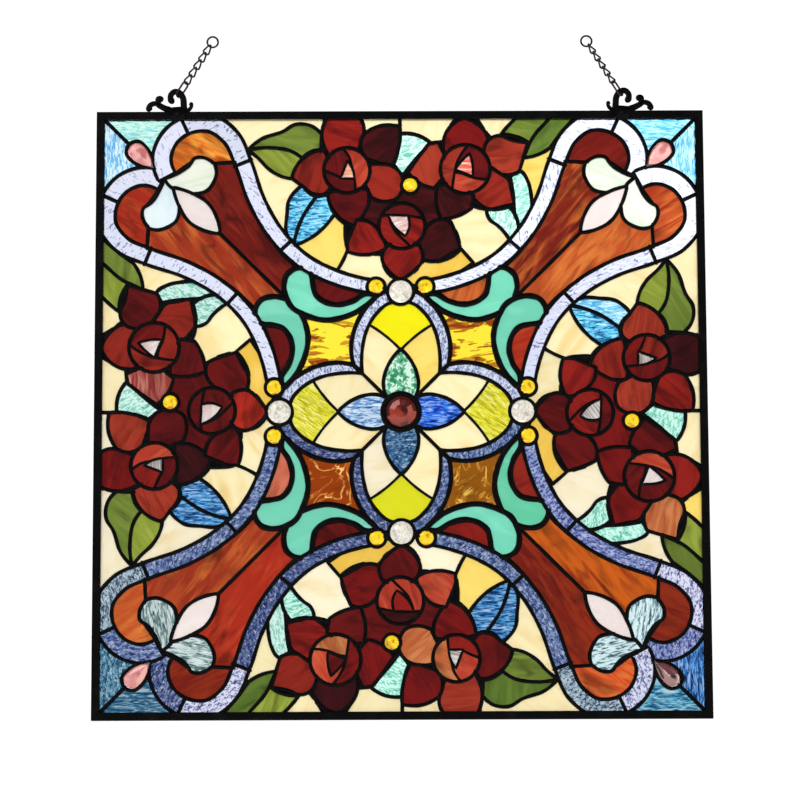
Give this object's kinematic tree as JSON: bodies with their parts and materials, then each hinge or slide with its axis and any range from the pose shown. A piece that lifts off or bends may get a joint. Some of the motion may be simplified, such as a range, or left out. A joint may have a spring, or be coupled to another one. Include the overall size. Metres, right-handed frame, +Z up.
{
  "type": "leaded stained glass window panel",
  "caption": "Square leaded stained glass panel in a black metal channel, with a four-lobed flower and floral corners, hung by two chains.",
  "frame": {"origin": "midway between the centres of the two rings that the chains end in, in the middle of the panel's thickness", "axes": "+Z up, +X to the right for someone who looks at the front, and the front faces -Y"},
  "size_m": [0.61, 0.0123, 0.689],
  "materials": {
    "black_metal": "satin black",
    "black_solder": "black patina",
    "chain_wire": "dark plated",
    "cream_glass": "glossy",
    "ruby_glass": "glossy",
    "sky_glass": "rippled",
    "ember_glass": "glossy",
    "teal_glass": "glossy",
    "band_glass": "glossy",
    "amber_glass": "rippled",
    "lobe_glass": "glossy",
    "clear_jewel": "glossy",
    "copper_jewel": "glossy"
  },
  "bodies": {
    "root": {"frame_top": "black_metal", "frame_right": "black_metal", "frame_bottom": "black_metal", "frame_left": "black_metal", "hanger_left": "black_metal", "hanger_right": "black_metal", "chain_left": "chain_wire", "chain_right": "chain_wire", "solder_lattice": "black_solder", "centre_jewel": "copper_jewel", "jewel_trio_top": "clear_jewel", "jewel_trio_right": "clear_jewel", "jewel_trio_bottom": "clear_jewel", "jewel_trio_left": "clear_jewel", "lobe_top": "lobe_glass", "lobe_right": "lobe_glass", "lobe_bottom": "lobe_glass", "lobe_left": "lobe_glass", "amber_pane_top_right": "amber_glass", "teal_scroll_top_right_upper": "teal_glass", "teal_scroll_top_right_lower": "teal_glass", "scroll_band_top_right_upper": "band_glass", "scroll_band_top_right_lower": "band_glass", "corner_lily_top_right": "ember_glass", "corner_sky_top_right": "sky_glass", "amber_pane_bottom_right": "amber_glass", "teal_scroll_bottom_right_upper": "teal_glass", "teal_scroll_bottom_right_lower": "teal_glass", "scroll_band_bottom_right_upper": "band_glass", "scroll_band_bottom_right_lower": "band_glass", "corner_lily_bottom_right": "ember_glass", "corner_sky_bottom_right": "sky_glass", "amber_pane_bottom_left": "amber_glass", "teal_scroll_bottom_left_upper": "teal_glass", "teal_scroll_bottom_left_lower": "teal_glass", "scroll_band_bottom_left_upper": "band_glass", "scroll_band_bottom_left_lower": "band_glass", "corner_lily_bottom_left": "ember_glass", "corner_sky_bottom_left": "sky_glass", "amber_pane_top_left": "amber_glass", "teal_scroll_top_left_upper": "teal_glass", "teal_scroll_top_left_lower": "teal_glass", "scroll_band_top_left_upper": "band_glass", "scroll_band_top_left_lower": "band_glass", "corner_lily_top_left": "ember_glass", "corner_sky_top_left": "sky_glass", "rose_cluster_top": "ruby_glass", "leaf_ground_top_left": "cream_glass", "leaf_ground_top_right": "cream_glass", "rose_cluster_right": "ruby_glass", "leaf_ground_right_left": "cream_glass", "leaf_ground_right_right": "cream_glass", "rose_cluster_bottom": "ruby_glass", "leaf_ground_bottom_left": "cream_glass", "leaf_ground_bottom_right": "cream_glass", "rose_cluster_left": "ruby_glass", "leaf_ground_left_left": "cream_glass", "leaf_ground_left_right": "cream_glass"}
  },
  "joints": []
}
